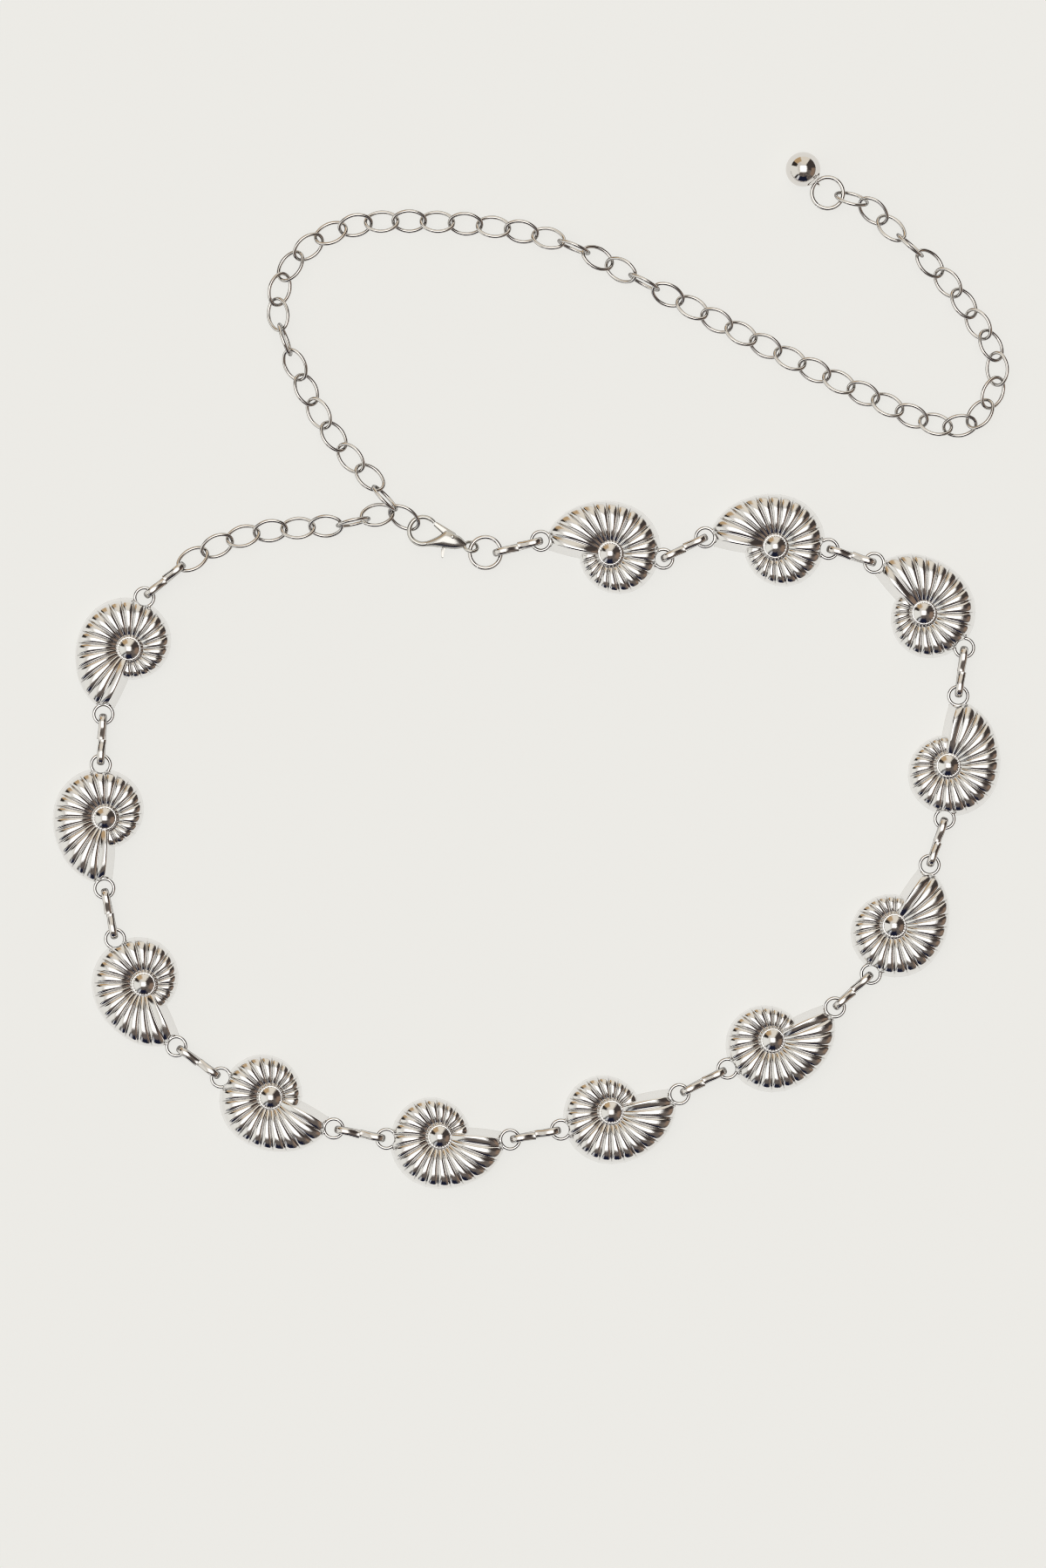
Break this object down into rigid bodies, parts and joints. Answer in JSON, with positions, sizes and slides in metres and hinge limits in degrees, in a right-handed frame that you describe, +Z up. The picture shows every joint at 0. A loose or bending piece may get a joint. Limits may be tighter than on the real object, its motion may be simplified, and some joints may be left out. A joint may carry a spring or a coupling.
{
  "type": "waist chain",
  "caption": "Waist chain of cast nautilus shells joined by strip links, with a lobster clasp and a long oval cable chain that ends in a round ring and a ball.",
  "frame": {"origin": "middle of the footprint, on the surface that the belt lies on", "axes": "+Z up off the surface, +Y towards the chain's loose end and its ball, +X to the right in the picture"},
  "size_m": [0.2744, 0.2974, 0.01],
  "materials": {
    "cast_silver": "polished silver plate, a little darker in the grooves",
    "strip_silver": "polished silver plate with fine lengthwise marks",
    "wire_silver": "polished silver plate",
    "clasp_silver": "satin cast silver plate, glossier on the hook",
    "ball_silver": "mirror-polished silver plate"
  },
  "bodies": {
    "belt": {"shell_01": "cast_silver", "shell_02": "cast_silver", "shell_03": "cast_silver", "shell_04": "cast_silver", "shell_05": "cast_silver", "shell_06": "cast_silver", "shell_07": "cast_silver", "shell_08": "cast_silver", "shell_09": "cast_silver", "shell_10": "cast_silver", "shell_11": "cast_silver", "shell_12": "cast_silver", "connector_00": "strip_silver", "connector_01": "strip_silver", "connector_02": "strip_silver", "connector_03": "strip_silver", "connector_04": "strip_silver", "connector_05": "strip_silver", "connector_06": "strip_silver", "connector_07": "strip_silver", "connector_08": "strip_silver", "connector_09": "strip_silver", "connector_10": "strip_silver", "connector_11": "strip_silver", "connector_12": "strip_silver", "jump_ring": "wire_silver", "clasp_body": "clasp_silver", "short_chain": "wire_silver", "tail_chain": "wire_silver", "end_ring": "wire_silver", "end_ball": "ball_silver"},
    "lever": {"clasp_lever": "clasp_silver"}
  },
  "joints": [
    {"name": "lever_turn", "type": "hinge", "parent": "belt", "child": "lever", "pos_m": [-0.02221, 0.03852, 0.002], "axis": [0, 0, 1], "range_deg": [0, 25], "stiffness_Nm_per_rad": 0.002, "springref_deg": -11.46}
  ]
}
